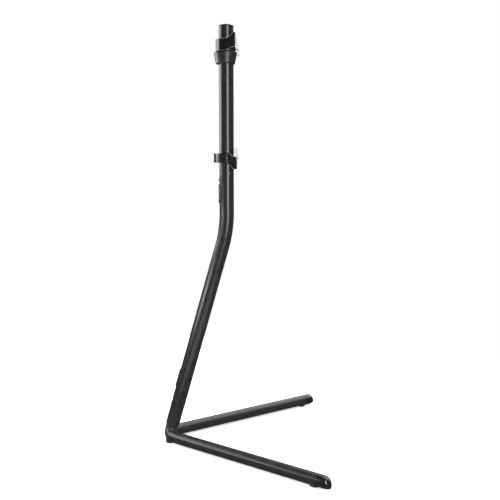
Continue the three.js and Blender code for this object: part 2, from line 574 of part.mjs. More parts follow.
function buildLowerBracket() {
  const { front, plateLow, plateHigh, collarLow, collarHigh, lugEnd } = LOWER;
  const sideways = new THREE.Vector3(1, 0, 0);
  const sideAt = new THREE.Vector3(0, SIDE_SCREW.y, SIDE_SCREW.z);
  const inside = front - PLATE_THICK;
  const outline = [
    [lugEnd, collarLow + 2], [lugEnd, collarHigh - 2], [1.5, collarHigh - 2], [1.5, 1027],
    [-0.5, 1028], [-25.5, plateHigh], [-inside - 1, plateHigh], [-inside - 1, plateLow],
    [-27, plateLow], [-7.5, 983], [0, collarLow + 2]];
  const arms = [-1, 1].map((side) => sideProfile(
    outline, ...(side < 0 ? [-ARM_OUT, -COLLAR_IN] : [COLLAR_IN, ARM_OUT])));
  piece(upright, "lower_bracket", BRACKET_COAT, cut(
    join(frontPlate(front, plateLow, plateHigh), ...arms),
    ...plateHoles(front, plateLow, plateHigh),
    rod(new THREE.Vector3(0, 0, LIP_SCREW_Z.lower), rear, -60, 0, 2.3),
    rod(sideAt, sideways, -60, 60, 2.5 + GAP)));

  const shell = join(
    disc(LOWER.shellOut, collarLow, collarHigh, 40),
    box([-13, 30, collarLow], [13, LOWER.block, collarHigh]));
  piece(upright, "lower_clamp_shell", BRACKET_COAT, cut(
    shell,
    disc(COLLAR_IN, collarLow - 1, collarHigh + 1, 40),
    box([-60, -60, collarLow - 1], [60, -LOWER.overlap, collarHigh + 1]),
    box([-ARM_OUT - GAP, -60, collarLow - 1], [-27, lugEnd + GAP, collarHigh + 1]),
    box([27, -60, collarLow - 1], [ARM_OUT + GAP, lugEnd + GAP, collarHigh + 1]),
    rod(sideAt, sideways, -60, 60, 2.5 + GAP),
    rod(sideAt, sideways, -60, -(ARM_OUT + 1.4), SIDE_SCREW.headR + GAP),
    rod(sideAt, sideways, ARM_OUT + 1.4, 60, SIDE_SCREW.headR + GAP),
    rod(new THREE.Vector3(0, 0, SIDE_SCREW.z), rear, 20, 60, CLAMP_SCREW_R + GAP)));

  for (const [name, side] of SIDES) {
    const along = new THREE.Vector3(side, 0, 0);
    piece(upright, `lower_shell_${name}_screw`, BLACK_SCREW, join(
      rod(sideAt, along, ARM_OUT + 1.4 + GAP, ARM_OUT + 3.5, SIDE_SCREW.headR),
      rod(sideAt, along, COLLAR_IN + 0.3, ARM_OUT + 2, 2.5)));
  }

  const clampAt = new THREE.Vector3(0, 0, SIDE_SCREW.z);
  piece(upright, "lower_clamp_screw", BLACK_SCREW, cut(
    rod(clampAt, rear, COLLAR_IN, LOWER.block - 1, CLAMP_SCREW_R),
    rod(clampAt, rear, LOWER.block - 6, LOWER.block, 2.2, 6)));

  piece(upright, "lower_bush", BUSH_NYLON, bush(collarLow + 0.5, collarHigh - 0.5));

  // Pale lip that stands on the plate's upper edge.
  const skin = -(front + GAP);
  piece(upright, "lower_guide_lip", PALE_NYLON, cut(
    sideProfile([
      [skin, 997], [-38.3, 997], [-38.3, 1037], [-36.4, 1040], [-28, 1040],
      [-26.6, 1038.5], [-26.6, 1021], [-32, 1021], [-32, plateHigh + GAP], [skin, plateHigh + GAP]],
      -LIP_HALF_WIDTH, LIP_HALF_WIDTH),
    rod(new THREE.Vector3(0, 0, LIP_SCREW_Z.lower), rear, -60, 0, 2.3)));
  piece(upright, "lower_lip_screw", BLACK_SCREW, lipScrew(LIP_SCREW_Z.lower, 40.6, 33));
}

buildMast();
buildHub();
buildLegs();
buildStopRing();
buildUpperBracket();
buildLowerBracket();

export default stand;
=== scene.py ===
"""Looks for the leaning floor stand. Lengths are millimetres in the shared frame unless a comment says
metres, and each finished piece is scaled to metres. The stand faces -Y; the camera looks along +X."""
import math

import bmesh
import bpy
from mathutils import Matrix, Vector


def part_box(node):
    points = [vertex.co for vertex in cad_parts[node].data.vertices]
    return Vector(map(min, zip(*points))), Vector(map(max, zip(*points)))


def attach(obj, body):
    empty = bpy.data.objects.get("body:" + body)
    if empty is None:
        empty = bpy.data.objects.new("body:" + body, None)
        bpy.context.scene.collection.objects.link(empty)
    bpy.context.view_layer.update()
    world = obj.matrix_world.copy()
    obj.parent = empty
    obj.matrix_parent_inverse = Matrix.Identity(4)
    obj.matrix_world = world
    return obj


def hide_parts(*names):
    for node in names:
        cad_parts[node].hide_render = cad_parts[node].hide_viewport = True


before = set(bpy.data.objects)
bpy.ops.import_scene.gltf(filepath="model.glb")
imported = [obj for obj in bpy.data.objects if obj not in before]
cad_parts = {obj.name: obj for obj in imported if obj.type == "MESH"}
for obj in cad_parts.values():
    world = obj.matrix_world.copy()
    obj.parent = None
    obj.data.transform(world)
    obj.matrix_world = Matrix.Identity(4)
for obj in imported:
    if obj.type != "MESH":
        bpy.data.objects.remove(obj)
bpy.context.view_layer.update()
SCENE = bpy.context.scene
MM = 0.001


# ---------------------------------------------------------------- sizes read from the frame
def corners(node):
    """The lowest and highest corner of a CAD node, in millimetres."""
    return tuple(Vector(corner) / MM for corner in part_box(node))


GAP = 0.3  # between pieces that fit into or against each other
ROUND = 96  # sides of a large round
WIDE = 60  # reaches past every collar and tube, for cutters

UPPER_TUBE = corners("mast_upper_tube")
MAST_Y = (UPPER_TUBE[0].y + UPPER_TUBE[1].y) / 2
MAST_R = UPPER_TUBE[1].x
MAST_WALL = 2
MAST_BORE = MAST_R - MAST_WALL
STAND_TOP = corners("top_cap")[1].z
LEAN = math.radians(15.8)
BEND_Z = 757  # where the upright and the leaning axis meet
BEND_R = 430
HUB_SEAM = -656  # along the leaning axis from the bend
HUB_SPIGOT = 70  # the hub reaches that far into the mast
HUB_SCREWS_AT = (HUB_SEAM + 18, HUB_SEAM + 50)

LEG_R = 20
LEG_WALL = 2
LEG_AXIS_Z = 23
LEG_ANGLE = math.radians(35)  # of each leg from the plane of symmetry
APEX_BEHIND = 33.5  # behind the leaning axis at the legs' level
APEX_Y = MAST_Y + (BEND_Z - LEG_AXIS_Z) * math.tan(LEAN) + APEX_BEHIND  # where the leg axes meet
# places along a leg's axis, from where the two meet
REAR_FOOT_AT = 46
ARM_END = 97
LEG_SCREWS_AT = (ARM_END + 16, ARM_END + 44)
LEG_SPIGOT_END = ARM_END + 60
FRONT_FOOT_AT = 642
LEG_END = 656

FOOT_SCREW_R = 2.5
COLLAR_IN = 31.5  # inner radius of both collars

UPRIGHT = Matrix.Translation((0, MAST_Y, 0))
LEANING = Matrix.Translation((0, MAST_Y, BEND_Z)) @ Matrix.Rotation(LEAN, 4, "X")
SIDES = {"left": -1, "right": 1}
SIDEWAYS, REAR, FRONT, UP, DOWN = (1, 0, 0), (0, 1, 0), (0, -1, 0), (0, 0, 1), (0, 0, -1)


def leg_frame(side):
    """-Y runs along the leg's axis from the point where the two leg axes meet."""
    return (Matrix.Translation((0, APEX_Y, LEG_AXIS_Z))
            @ Matrix.Rotation(SIDES[side] * LEG_ANGLE, 4, "Z"))


# ---------------------------------------------------------------- camera
# the camera that fits the photograph's outline; its place is in metres
CAMERA_AT = (-2.4449, MAST_Y * MM - 0.1229, 0.9716)
CAMERA_PITCH, CAMERA_YAW = math.radians(-6.646), math.radians(0.993)
CAMERA_LENS, CAMERA_SENSOR = 50.91, 36


def make_camera():
    data = bpy.data.cameras.new("camera")
    data.lens = CAMERA_LENS
    data.sensor_width = CAMERA_SENSOR
    camera = bpy.data.objects.new("camera", data)
    SCENE.collection.objects.link(camera)
    camera.location = CAMERA_AT
    level = math.cos(CAMERA_PITCH)
    direction = Vector((math.cos(CAMERA_YAW) * level, math.sin(CAMERA_YAW) * level,
                        math.sin(CAMERA_PITCH)))
    camera.rotation_euler = direction.to_track_quat("-Z", "Y").to_euler()
    SCENE.camera = camera


# ---------------------------------------------------------------- mesh tools
def shape_of(bm, place=None):
    """A scratch object made from a bmesh, which it frees."""
    if place is not None:
        bm.transform(place)
    bmesh.ops.recalc_face_normals(bm, faces=bm.faces)
    mesh = bpy.data.meshes.new("shape")
    bm.to_mesh(mesh)
    bm.free()
    shape = bpy.data.objects.new("shape", mesh)
    SCENE.collection.objects.link(shape)
    return shape


def skin(bm, rings, closed=False):
    """Faces between rings of vertices; a ring of one vertex is a point on the axis."""
    pairs = list(zip(rings, rings[1:]))
    if closed:
        pairs.append((rings[-1], rings[0]))
    for low, high in pairs:
        count = max(len(low), len(high))
        for i in range(count):
            j = (i + 1) % count
            around = [low[i % len(low)], low[j % len(low)], high[j % len(high)], high[i % len(high)]]
            bm.faces.new(list(dict.fromkeys(around)))


def lathe(profile, place=None, closed=False, sides=ROUND):
    """A solid of revolution about Z from (radius, z) points."""
    bm = bmesh.new()
    rings = []
    for radius, z in profile:
        count = sides if radius > 1e-6 else 1
        turns = [2 * math.pi * i / count for i in range(count)]
        rings.append([bm.verts.new((radius * math.cos(a), radius * math.sin(a), z)) for a in turns])
    skin(bm, rings, closed)
    return shape_of(bm, place)


PLANES = {
    "side": lambda a, b, d: (d, a, b),
    "front": lambda a, b, d: (a, d, b),
    "plan": lambda a, b, d: (a, b, d),
}


def prism(outline, start, end, plane, place=None):
    """An outline of (a, b) points in a plane, extruded along the plane's normal."""
    put = PLANES[plane]
    bm = bmesh.new()
    near = [bm.verts.new(put(a, b, start)) for a, b in outline]
    far = [bm.verts.new(put(a, b, end)) for a, b in outline]
    skin(bm, [near, far])
    bm.faces.new(near)
    bm.faces.new(far[::-1])
    return shape_of(bm, place)


def block(low, high, place=None):
    """A box, used only as a cutter."""
    outline = [(low[0], low[1]), (high[0], low[1]), (high[0], high[1]), (low[0], high[1])]
    return prism(outline, low[2], high[2], "plan", place)


def rod(at, along, start, end, radius, place=None, sides=32):
    """A rod of that radius along a direction, from start to end past a point."""
    turn = Vector(along).to_track_quat("Z", "Y").to_matrix().to_4x4()
    spot = Matrix.Translation(at) @ turn
    profile = [(0, start), (radius, start), (radius, end), (0, end)]
    return lathe(profile, (place or Matrix()) @ spot, sides=sides)


def rounded(points, radius, steps=4):
    """The outline with each corner eased by a short curve; a third number is that corner's own reach."""
    eased = []
    flat = [Vector(point[:2]) for point in points]
    for i, here in enumerate(flat):
        before, after = flat[i - 1], flat[(i + 1) % len(flat)]
        reach = points[i][2] if len(points[i]) > 2 else radius
        reach = min(reach, 0.49 * (before - here).length, 0.49 * (after - here).length)
        first = here + (before - here).normalized() * reach
        last = here + (after - here).normalized() * reach
        for step in range(steps + 1):
            t = step / steps
            eased.append(tuple(first * (1 - t) ** 2 + here * 2 * t * (1 - t) + last * t * t))
    return eased


def oblong(width, height, centre, steps=12):
    """A long hole's outline, with round ends, about (0, centre)."""
    radius, straight = width / 2, (height - width) / 2
    points = []
    for end, turn in ((1, 0), (-1, math.pi)):
        for step in range(steps + 1):
            a = turn + math.pi * step / steps
            points.append((radius * math.cos(a), centre + end * straight + radius * math.sin(a)))
    return points


def arc(centre, radius, start, end, steps, height=None):
    """Points of an arc in a (radius, z) profile, angles in degrees; height is its half axis along z."""
    height = radius if height is None else height
    angles = [math.radians(start + (end - start) * i / steps) for i in range(steps + 1)]
    return [(centre[0] + radius * math.cos(a), centre[1] + height * math.sin(a)) for a in angles]


def bake(shape):
    """Applies the shape's modifiers."""
    evaluated = shape.evaluated_get(bpy.context.evaluated_depsgraph_get())
    mesh = bpy.data.meshes.new_from_object(evaluated)
    shape.modifiers.clear()
    shape.data = mesh
    return shape


def boolean(shape, operation, others):
    """Combines the shape with the others, which it uses up."""
    for other in others:
        modifier = shape.modifiers.new("boolean", "BOOLEAN")
        modifier.operation = operation
        modifier.solver = "EXACT"
        modifier.object = other
    bake(shape)
    for other in others:
        bpy.data.objects.remove(other)
    return shape


def cut(shape, *others):
    return boolean(shape, "DIFFERENCE", others)


def join(shape, *others):
    return boolean(shape, "UNION", others)


def common(shape, other):
    return boolean(shape, "INTERSECT", [other])


def soften(shape, width, steps, angle=35):
    """Rounds the shape's edges that are sharper than the angle, in degrees."""
    modifier = shape.modifiers.new("bevel", "BEVEL")
    modifier.width = width
    modifier.segments = steps
    modifier.limit_method = "ANGLE"
    modifier.angle_limit = math.radians(angle)
    return bake(shape)


def piece(shape, node, body, look, smooth_under=40):
    """Makes a finished shape the visible stand-in for a CAD node; its slot has its look's name."""
    shape.name = node + "_surface"
    shape.data.name = shape.name
    shape.data.transform(Matrix.Scale(MM, 4))
    shape.data.shade_smooth()
    shape.data.set_sharp_from_angle(angle=math.radians(smooth_under))
    weighted = shape.modifiers.new("normals", "WEIGHTED_NORMAL")
    weighted.keep_sharp = True
    shape.data.materials.clear()
    shape.data.materials.append(LOOKS[look])
    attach(shape, body)
    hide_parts(node)


# ---------------------------------------------------------------- materials
COAT_IOR, MOULD_IOR, NYLON_IOR = 1.36, 1.38, 1.53
PEEL = 0.00001  # depth of the coat's orange peel, in metres
# grey of the lightened coat edges: partly wear, partly a painted highlight on the rims
EDGE_WEAR_AND_HIGHLIGHT_GREY = 0.27
MOULD_EDGE_R, MOULD_WEAR = 0.0006, 0.05  # metres; how far a moulding's edges are polished
EDGE_SHARP, EDGE_PLAIN = 0.90, 0.995  # cosines between the true and the rounded normal


class Look:
    """A material's node tree, with the few links that every finish here needs."""

    def __init__(self, name, roughness, metallic=0.0, ior=1.5):
        self.material = bpy.data.materials.new(name)
        self.material.use_nodes = True
        self.tree = self.material.node_tree
        self.shader = self.tree.nodes["Principled BSDF"]
        self.shader.inputs["Roughness"].default_value = roughness
        self.shader.inputs["Metallic"].default_value = metallic
        self.shader.inputs["IOR"].default_value = ior
        self.place = self.node("ShaderNodeTexCoord").outputs["Object"]

    def node(self, kind, **settings):
        made = self.tree.nodes.new(kind)
        for key, value in settings.items():
            setattr(made, key, value)
        return made

    def link(self, source, target):
        self.tree.links.new(source, target)

    def noise(self, scale, detail=3.0, stretch=(1, 1, 1)):
        """Noise of about `scale` blobs to the metre, stretched along an axis where that is below 1."""
        mapping = self.node("ShaderNodeMapping")
        mapping.inputs["Scale"].default_value = stretch
        texture = self.node("ShaderNodeTexNoise")
        texture.inputs["Scale"].default_value = scale
        texture.inputs["Detail"].default_value = detail
        self.link(self.place, mapping.inputs["Vector"])
        self.link(mapping.outputs["Vector"], texture.inputs["Vector"])
        return texture.outputs["Fac"]

    def remap(self, value, low, high, to_low, to_high):
        node = self.node("ShaderNodeMapRange")
        for key, number in zip(("From Min", "From Max", "To Min", "To Max"),
                               (low, high, to_low, to_high)):
            node.inputs[key].default_value = number
        self.link(value, node.inputs["Value"])
        return node.outputs["Result"]

    def math(self, operation, a, b):
        node = self.node("ShaderNodeMath", operation=operation)
        for index, value in enumerate((a, b)):
            if isinstance(value, (int, float)):
                node.inputs[index].default_value = value
            else:
                self.link(value, node.inputs[index])
        return node.outputs["Value"]

    def blend(self, factor, a, b):
        """A colour between a and b."""
        node = self.node("ShaderNodeMix", data_type="RGBA")
        self.link(factor, node.inputs["Factor"])
        for socket, colour in zip((node.inputs[6], node.inputs[7]), (a, b)):
            if isinstance(colour, tuple):
                socket.default_value = (*colour, 1)
            else:
                self.link(colour, socket)
        return node.outputs[2]

    def bump(self, *layers):
        """Layers of (height, depth in metres), one on top of another."""
        below = None
        for height, depth in layers:
            node = self.node("ShaderNodeBump")
            node.inputs["Strength"].default_value = 1
            node.inputs["Distance"].default_value = depth
            self.link(height, node.inputs["Height"])
            if below is not None:
                self.link(below, node.inputs["Normal"])
            below = node.outputs["Normal"]
        self.link(below, self.shader.inputs["Normal"])

    def edges(self, radius):
        """1 on edges sharper than the radius (metres), 0 on flat and gently curved surfaces."""
        bevel = self.node("ShaderNodeBevel", samples=4)
        bevel.inputs["Radius"].default_value = radius
        plain = self.node("ShaderNodeNewGeometry").outputs["Normal"]
        dot = self.node("ShaderNodeVectorMath", operation="DOT_PRODUCT")
        self.link(bevel.outputs["Normal"], dot.inputs[0])
        self.link(plain, dot.inputs[1])
        return self.remap(dot.outputs["Value"], EDGE_PLAIN, EDGE_SHARP, 0, 1)

    def colour(self, value):
        self.link(value, self.shader.inputs["Base Color"])

    def roughness(self, value):
        self.link(value, self.shader.inputs["Roughness"])


def grey(level, tint=(1, 1, 1)):
    return tuple(level * channel for channel in tint)


def coated(name, level, roughness, edge_r, wear_and_highlight):
    """Black powder coat: orange peel, faint dust, and edges painted lighter over edge_r metres, partly as
    wear and partly as a painted highlight on the rims.
    """
    look = Look(name, roughness, ior=COAT_IOR)
    dust = look.noise(38, 5)
    grain = look.noise(1500, 2)
    # edges painted lighter grey: partly rubbed wear, partly a painted highlight where the rounded rims
    # catch the light
    edge_wear_and_highlight_mask = look.math("MULTIPLY", look.edges(edge_r),
                       look.remap(look.noise(240), 0.7 - wear_and_highlight, 0.9 - wear_and_highlight, 0, wear_and_highlight))
    coat = look.blend(look.remap(dust, 0.35, 0.75, 0, 1), grey(level),
                      grey(level * 1.45, (1, 1, 1.03)))
    look.colour(look.blend(edge_wear_and_highlight_mask, coat, grey(EDGE_WEAR_AND_HIGHLIGHT_GREY)))
    even = look.math("ADD", look.remap(dust, 0.3, 0.7, roughness - 0.03, roughness + 0.04),
                     look.remap(grain, 0.3, 0.7, -0.03, 0.03))
    look.roughness(even)
    look.bump((look.noise(420, 2), PEEL), (grain, PEEL * 0.35))
    return look.material


def moulded(name, level, roughness, texture_depth):
    """Moulded plastic with a fine eroded texture and slightly polished edges."""
    look = Look(name, roughness, ior=MOULD_IOR)
    flow = look.noise(60, 4, (1, 1, 0.35))
    texture = look.noise(2600, 3)
    base = look.blend(look.remap(flow, 0.3, 0.7, 0, 1), grey(level), grey(level * 1.18))
    look.colour(look.blend(look.math("MULTIPLY", look.edges(MOULD_EDGE_R), MOULD_WEAR * 8), base,
                           grey(level + MOULD_WEAR)))
    look.roughness(look.math("ADD", look.remap(flow, 0.3, 0.7, roughness - 0.03, roughness + 0.03),
                             look.remap(texture, 0.3, 0.7, -0.05, 0.05)))
    look.bump((texture, texture_depth))
    return look.material


def pale_nylon():
    """Pale nylon: milky, with soft flow marks and light grey handling marks."""
    look = Look("pale_nylon", 0.4, ior=NYLON_IOR)
    look.shader.inputs["Subsurface Weight"].default_value = 0.12
    look.shader.inputs["Subsurface Scale"].default_value = 0.002
    marks = look.remap(look.noise(90, 6), 0.52, 0.8, 0, 1)
    look.colour(look.blend(marks, (0.43, 0.44, 0.437), (0.33, 0.33, 0.323)))
    look.roughness(look.remap(look.noise(160, 4), 0.3, 0.7, 0.34, 0.48))
    look.bump((look.noise(1900, 2), 0.00003))
    return look.material


def rubber():
    """Foot rubber: dull, with dust in its pores."""
    look = Look("rubber", 0.8)
    dust = look.remap(look.noise(300, 6), 0.45, 0.8, 0, 1)
    look.colour(look.blend(dust, grey(0.016), (0.05, 0.047, 0.043)))
    look.roughness(look.remap(look.noise(700), 0.3, 0.7, 0.7, 0.9))
    look.bump((look.noise(1100, 4), 0.00009))
    return look.material


def plated(name, level, roughness, metallic):
    """Turned and plated steel with fine lay marks round the part."""
    look = Look(name, roughness, metallic=metallic)
    lay = look.noise(900, 3, (1, 1, 0.12))
    look.colour(look.blend(look.remap(look.noise(150, 4), 0.3, 0.7, 0, 1),
                           grey(level * 0.8), grey(level, (1, 1, 1.02))))
    look.roughness(look.remap(lay, 0.3, 0.7, roughness - 0.07, roughness + 0.09))
    look.bump((lay, 0.00003))
    return look.material


LOOKS = {
    "black_coat": coated("black_coat", 0.009, 0.25, edge_r=0.0004, wear_and_highlight=0.15),
    "leg_coat": coated("leg_coat", 0.0105, 0.3, edge_r=0.0004, wear_and_highlight=0.15),
    # the bracket's wide, strong edge lightening is mostly a painted highlight along its rims, with some
    # wear
    "bracket_coat": coated("bracket_coat", 0.003, 0.2, edge_r=0.0026, wear_and_highlight=0.9),
    "shell_coat": coated("shell_coat", 0.0045, 0.26, edge_r=0.0006, wear_and_highlight=0.3),
    "gloss_plastic": moulded("gloss_plastic", 0.007, 0.17, texture_depth=0.00001),
    "matt_plastic": moulded("matt_plastic", 0.008, 0.36, texture_depth=0.00003),
    "bush_nylon": moulded("bush_nylon", 0.02, 0.5, texture_depth=0.00003),
    "pale_nylon": pale_nylon(),
    "rubber": rubber(),
    "zinc": plated("zinc", 0.62, 0.33, metallic=1.0),
    "black_screw": plated("black_screw", 0.035, 0.36, metallic=0.7),
}


# ---------------------------------------------------------------- screws
SCREW_SIDES, SOCKET_DEPTH = 48, 1.1
HEX_R = 2.2  # of the key holes in the screws without domed heads


def button_screw(node, body, at, along, head_r, head, tip, shank_r, place=UPRIGHT):
    """A domed head with a hexagon socket. `head` and `tip` are distances along the direction."""
    turn = Vector(along).to_track_quat("Z", "Y").to_matrix().to_4x4()
    height = head[1] - head[0]
    dome = [(head_r, head[0] + 0.25 * height)] + [
        (head_r * math.cos(a), head[0] + height * (0.35 + 0.65 * math.sin(a)))
        for a in (0.25, 0.5, 0.8, 1.1)]
    screw = lathe([(0, tip), (shank_r - 0.3, tip), (shank_r, tip + 0.6), (shank_r, head[0]),
                   (head_r - 0.2, head[0]), *dome, (head_r * 0.42, head[1]), (0, head[1])],
                  sides=SCREW_SIDES)
    socket = lathe([(0, head[1] - SOCKET_DEPTH), (head_r * 0.36, head[1] - SOCKET_DEPTH),
                    (head_r * 0.36, head[1] + 1), (0, head[1] + 1)], sides=6)
    cut(screw, socket)
    screw.data.transform(place @ Matrix.Translation(at) @ turn)
    piece(screw, node, body, "black_screw")


# ---------------------------------------------------------------- mast
COVER_LENGTH, COVER_WIDTH, COVER_PROUD = 65, 36, 2.6
SLOT_LENGTH, SLOT_WIDTH = 46, 20
UPPER_COVER_Z = 882.5
LOWER_COVER_AT = -555  # along the leaning axis
JOINT_SCREW_Z = 930
JOINT_HOLE_R, HUB_SCREW_HOLE_R = 3.4, 6.4
CAP_DOME_R, CAP_RIM_R, CAP_PLUG = 66, 23.6, 16


def mast_stations():
    """(y, z, lean) along the lower tube's centre line, from its foot to the seam."""
    seam_z = corners("mast_lower_tube")[1].z
    foot = HUB_SEAM + GAP
    run = BEND_R * math.tan(LEAN / 2)
    stations = [(-foot * math.sin(LEAN), BEND_Z + foot * math.cos(LEAN), LEAN)]
    bend_steps = 24
    for i in range(bend_steps, -1, -1):
        angle = LEAN * i / bend_steps
        stations.append((BEND_R * (1 - math.cos(angle)),
                         BEND_Z + run - BEND_R * math.sin(angle), angle))
    stations.append((0, seam_z, 0))
    return stations


def bent_tube():
    """The lower mast tube, a ring of vertices at each station of its outer and inner wall."""
    bm = bmesh.new()
    walls = []
    for radius in (MAST_R, MAST_BORE):
        rings = []
        for y, z, lean in mast_stations():
            across = Vector((0, math.cos(lean), math.sin(lean)))
            turns = [2 * math.pi * i / ROUND for i in range(ROUND)]
            rings.append([bm.verts.new(Vector((radius * math.cos(a), y, z)) + across * radius * math.sin(a))
                          for a in turns])
        walls.append(rings)
    skin(bm, walls[0] + walls[1][::-1], closed=True)
    return shape_of(bm, UPRIGHT)


def straight_tube(start, end, outer, wall, place):
    """A tube along Z with lightly rounded ends."""
    inner, ease = outer - wall, 0.5
    return lathe([
        (inner, start), (outer - ease, start), (outer - ease * 0.3, start + ease * 0.3),
        (outer, start + ease), (outer, end - ease), (outer - ease * 0.3, end - ease * 0.3),
        (outer - ease, end), (inner, end)], place, closed=True)


def cable_cover(node, centre, place):
    """A long oval lid that hugs the tube, thinner at its rim, with two spring clips behind it."""
    half_width, straight = COVER_WIDTH / 2, (COVER_LENGTH - COVER_WIDTH) / 2
    top = [(0, 0.3), (0, 1.6), (0.25, 2.1), (0.7, 2.4), (1.6, 2.55), (5, COVER_PROUD),
           (10, COVER_PROUD), (half_width, COVER_PROUD)]
    under = [(half_width, 0.9), (2.4, 0.9), (1.4, 0.3)]
    bm = bmesh.new()
    rings = []
    half_turn = 28  # steps round each end
    for inset, height in top + under:
        radius = half_width - inset
        ring = []
        for end, turn in ((1, 0), (-1, math.pi)):
            for step in range(half_turn + 1):
                a = turn + math.pi * step / half_turn
                around = radius * math.cos(a) / MAST_R
                z = centre + end * straight + radius * math.sin(a)
                reach = MAST_R + height
                ring.append(bm.verts.new((reach * math.sin(around), reach * math.cos(around), z)))
        rings.append(ring)
    skin(bm, rings, closed=True)
    bmesh.ops.remove_doubles(bm, verts=bm.verts, dist=0.001)
    lid = shape_of(bm)
    clips = []
    clip_half_width, clip_inset = 5, 2.5
    inside, root = MAST_BORE - 4, MAST_R + 1.2
    for end in (-1, 1):
        z = centre + end * (SLOT_LENGTH / 2 - clip_inset)
        outline = [(inside, z - 1), (root, z - 1), (root, z + 1), (inside + 1.2, z + 1),
                   (inside, z + 0.2)]
        clips.append(prism(outline, -clip_half_width, clip_half_width, "side"))
    join(lid, *clips)
    lid.data.transform(place)
    piece(lid, node, node, "matt_plastic", smooth_under=50)


def make_mast():
    lower = bent_tube()
    inside, outside = 15, 40  # from the axis: the holes go through the rear wall only
    holes = [prism(oblong(SLOT_WIDTH, SLOT_LENGTH, centre), 10, outside, "front", place)
             for centre, place in ((UPPER_COVER_Z, UPRIGHT), (LOWER_COVER_AT, LEANING))]
    holes.append(rod((0, 0, JOINT_SCREW_Z), REAR, inside, outside, JOINT_HOLE_R, UPRIGHT))
    for along in HUB_SCREWS_AT:
        holes.append(rod((0, 0, along), REAR, inside, outside, HUB_SCREW_HOLE_R, LEANING))
    piece(cut(lower, *holes), "mast_lower_tube", "stand", "black_coat")

    low, high = corners("mast_upper_tube")
    piece(straight_tube(low.z, high.z, MAST_R, MAST_WALL, UPRIGHT), "mast_upper_tube", "stand",
          "black_coat")
    button_screw("mast_joint_screw", "stand", (0, 0, JOINT_SCREW_Z), REAR, head_r=5.2,
                 head=(MAST_R + 0.25, MAST_R + 2.3), tip=MAST_R - 12, shank_r=3)
    for number, along in enumerate(HUB_SCREWS_AT, start=1):
        button_screw(f"hub_mast_screw_{number}", "stand", (0, 0, along), REAR, head_r=6,
                     head=(MAST_BORE, MAST_BORE + 1.2), tip=7, shank_r=3, place=LEANING)

    base = high.z + GAP
    edge = math.degrees(math.asin(CAP_RIM_R / CAP_DOME_R))
    plug = MAST_BORE - GAP
    hollow, foot = plug - 2.3, base - CAP_PLUG
    cap = lathe([
        (0, base - 3.3), (hollow, base - 3.3), (hollow, foot), (hollow + 0.3, foot - 0.3),
        (plug - 0.4, foot - 0.3), (plug, foot + 0.5), (plug, base), (MAST_R - 0.25, base),
        (MAST_R, base + 0.25), (MAST_R, base + 0.9), (MAST_R - 0.3, base + 1.6),
        (MAST_R - 0.8, base + 2.1),
        *arc((0, STAND_TOP - CAP_DOME_R), CAP_DOME_R, 90 - edge, 90, 10)[:-1],
        (0, STAND_TOP)], UPRIGHT)
    piece(cap, "top_cap", "stand", "gloss_plastic", smooth_under=30)

    cable_cover("upper_cable_cover", UPPER_COVER_Z, UPRIGHT)
    cable_cover("lower_cable_cover", LOWER_COVER_AT, LEANING)


# ---------------------------------------------------------------- base hub
ARM_TOP_Z, ARM_SPLAY = 104, 4  # where an arm's centre line leaves the mast's foot
ARM_BEND_END = 82  # along the leg's axis
PULL_DOWN, PULL_OUT = 76, 56.8  # lengths of the bend's handles
KNUCKLE_AT = -720  # along the leaning axis: centre of the socket's rounded foot
HUB_HOLE_R = 3.3
BLEND_VOXEL, BLEND_ROUNDS = 1.4, 5


def arm_line(side, steps=40):
    """Centre line of one arm: down out of the mast's foot, round a bend, and out along the leg."""
    sign = SIDES[side]
    out = Vector((sign * math.sin(LEG_ANGLE), -math.cos(LEG_ANGLE), 0))
    apex = Vector((0, APEX_Y, LEG_AXIS_Z))
    up = Vector((0, -math.sin(LEAN), math.cos(LEAN)))
    top = Vector((sign * ARM_SPLAY, MAST_Y + (BEND_Z - ARM_TOP_Z) * math.tan(LEAN), ARM_TOP_Z))
    end = apex + out * ARM_BEND_END
    handles = (top, top - up * PULL_DOWN, end - out * PULL_OUT, end)
    points = []
    for step in range(steps + 1):
        t = step / steps
        weights = ((1 - t) ** 3, 3 * t * (1 - t) ** 2, 3 * t * t * (1 - t), t ** 3)
        points.append(sum((h * w for h, w in zip(handles, weights)), Vector()))
    past_seam = 12  # trimmed off later
    return points + [apex + out * (ARM_END + past_seam)]


def swept(points, radius, sides=48):
    """A rod of that radius along a line of points, its rings turned to follow the line."""
    bm = bmesh.new()
    rings = []
    across = Vector((1, 0, 0))
    for i, point in enumerate(points):
        tangent = (points[min(i + 1, len(points) - 1)] - points[max(i - 1, 0)]).normalized()
        across = (across - tangent * across.dot(tangent)).normalized()
        other = tangent.cross(across)
        turns = [2 * math.pi * k / sides for k in range(sides)]
        rings.append([bm.verts.new(point + across * radius * math.cos(a) + other * radius * math.sin(a))
                      for a in turns])
    skin(bm, rings)
    bm.faces.new(rings[0])
    bm.faces.new(rings[-1][::-1])
    return shape_of(bm)


def blended(shape, voxel, rounds):
    """Remeshes a joined shape and smooths it, so that its crotches get fillets."""
    remesh = shape.modifiers.new("remesh", "REMESH")
    remesh.mode = "VOXEL"
    remesh.voxel_size = voxel
    smooth = shape.modifiers.new("smooth", "SMOOTH")
    smooth.factor = 0.5
    smooth.iterations = rounds
    return bake(shape)


